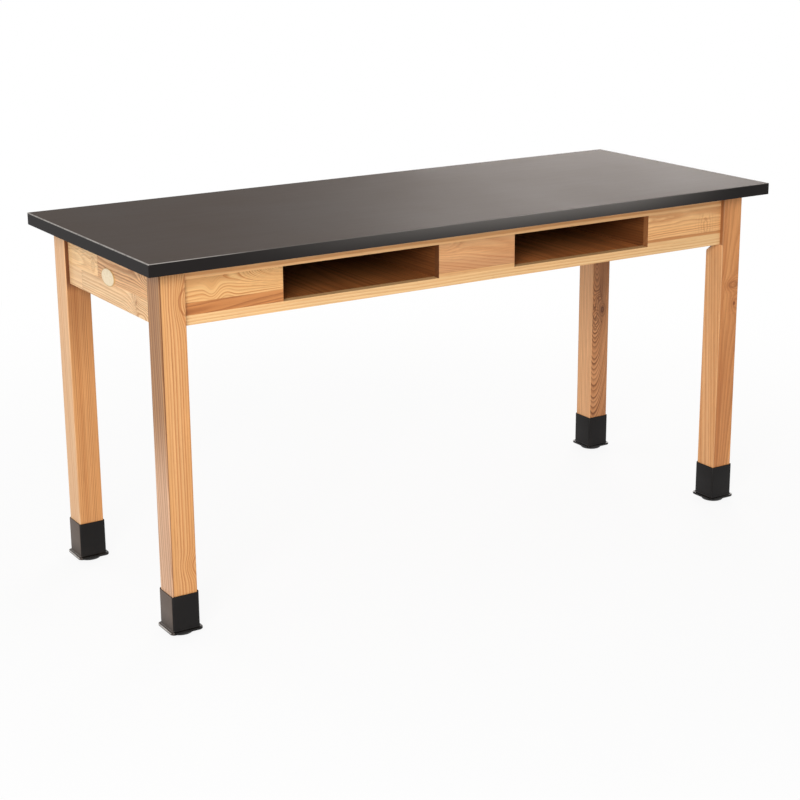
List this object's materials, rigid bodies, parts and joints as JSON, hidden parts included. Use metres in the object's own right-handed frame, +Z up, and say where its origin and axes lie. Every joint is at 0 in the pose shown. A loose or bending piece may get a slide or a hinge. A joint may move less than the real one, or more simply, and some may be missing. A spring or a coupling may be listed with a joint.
{
  "type": "science lab table",
  "caption": "Wood-framed laboratory table with a dark resin worktop, open book compartments in the front apron, and boots over levelling glides.",
  "frame": {"origin": "on the floor under the middle of the worktop", "axes": "+X along the table's length to the right as seen from the front, -Y towards the front with the openings, +Z up"},
  "size_m": [1.524, 0.6096, 0.762],
  "materials": {
    "worktop_resin": "matte black resin, smooth, fine bevel on its edges",
    "leg_wood": "clear satin lacquer on ash-like wood, grain along the leg",
    "apron_wood": "clear satin lacquer on edge-glued ash-like boards, grain along the board",
    "compartment_plywood": "brown stained plywood",
    "plate_enamel": "cream enamel, blank",
    "zinc_sheet": "bright zinc-plated pressed steel",
    "zinc_fastener": "bright zinc-plated steel",
    "boot_rubber": "matte black rubber",
    "glide_plastic": "black moulded plastic"
  },
  "bodies": {
    "table": {"worktop": "worktop_resin", "leg_front_left": "leg_wood", "leg_front_right": "leg_wood", "leg_back_left": "leg_wood", "leg_back_right": "leg_wood", "front_bottom_rail": "apron_wood", "front_top_rail": "apron_wood", "front_block_left": "apron_wood", "front_block_centre": "apron_wood", "front_block_right": "apron_wood", "back_apron_lower": "apron_wood", "back_apron_upper": "apron_wood", "left_apron_lower": "apron_wood", "left_apron_upper": "apron_wood", "right_apron_lower": "apron_wood", "right_apron_upper": "apron_wood", "left_compartment_outer_side": "compartment_plywood", "left_compartment_inner_side": "compartment_plywood", "right_compartment_inner_side": "compartment_plywood", "right_compartment_outer_side": "compartment_plywood", "left_compartment_floor": "compartment_plywood", "right_compartment_floor": "compartment_plywood", "apron_oval_plate": "plate_enamel", "corner_bracket_front_left": "zinc_sheet", "corner_bracket_front_right": "zinc_sheet", "corner_bracket_back_left": "zinc_sheet", "corner_bracket_back_right": "zinc_sheet", "bracket_screws": "zinc_fastener", "hanger_bolts": "zinc_fastener", "hanger_washers": "zinc_fastener", "hanger_nuts": "zinc_fastener", "worktop_angles": "zinc_sheet", "angle_apron_screws": "zinc_fastener", "angle_worktop_screws": "zinc_fastener", "glide_inserts": "zinc_fastener", "boot_front_left": "boot_rubber", "boot_front_right": "boot_rubber", "boot_back_left": "boot_rubber", "boot_back_right": "boot_rubber"},
    "glide_pad_front_left": {"glide_pad_front_left": "glide_plastic"},
    "glide_stem_front_left": {"glide_stem_front_left": "zinc_fastener"},
    "glide_pad_front_right": {"glide_pad_front_right": "glide_plastic"},
    "glide_stem_front_right": {"glide_stem_front_right": "zinc_fastener"},
    "glide_pad_back_left": {"glide_pad_back_left": "glide_plastic"},
    "glide_stem_back_left": {"glide_stem_back_left": "zinc_fastener"},
    "glide_pad_back_right": {"glide_pad_back_right": "glide_plastic"},
    "glide_stem_back_right": {"glide_stem_back_right": "zinc_fastener"}
  },
  "joints": [
    {"name": "glide_travel_front_left", "type": "slide", "parent": "table", "child": "glide_pad_front_left", "axis": [0, 0, -1], "range_m": [0, 0.012]},
    {"name": "glide_turn_front_left", "type": "hinge", "parent": "glide_pad_front_left", "child": "glide_stem_front_left", "pos_m": [-0.6969, -0.23335, 0.011], "axis": [0, 0, -1], "range_deg": [0, 2722]},
    {"name": "glide_travel_front_right", "type": "slide", "parent": "table", "child": "glide_pad_front_right", "axis": [0, 0, -1], "range_m": [0, 0.012]},
    {"name": "glide_turn_front_right", "type": "hinge", "parent": "glide_pad_front_right", "child": "glide_stem_front_right", "pos_m": [0.6969, -0.23335, 0.011], "axis": [0, 0, -1], "range_deg": [0, 2722]},
    {"name": "glide_travel_back_left", "type": "slide", "parent": "table", "child": "glide_pad_back_left", "axis": [0, 0, -1], "range_m": [0, 0.012]},
    {"name": "glide_turn_back_left", "type": "hinge", "parent": "glide_pad_back_left", "child": "glide_stem_back_left", "pos_m": [-0.6969, 0.23335, 0.011], "axis": [0, 0, -1], "range_deg": [0, 2722]},
    {"name": "glide_travel_back_right", "type": "slide", "parent": "table", "child": "glide_pad_back_right", "axis": [0, 0, -1], "range_m": [0, 0.012]},
    {"name": "glide_turn_back_right", "type": "hinge", "parent": "glide_pad_back_right", "child": "glide_stem_back_right", "pos_m": [0.6969, 0.23335, 0.011], "axis": [0, 0, -1], "range_deg": [0, 2722]}
  ],
  "couplings": [
    {"joint": "glide_turn_front_left", "follows": "glide_travel_front_left", "rad_per_m": 3957.9},
    {"joint": "glide_turn_front_right", "follows": "glide_travel_front_right", "rad_per_m": 3957.9},
    {"joint": "glide_turn_back_left", "follows": "glide_travel_back_left", "rad_per_m": 3957.9},
    {"joint": "glide_turn_back_right", "follows": "glide_travel_back_right", "rad_per_m": 3957.9}
  ]
}
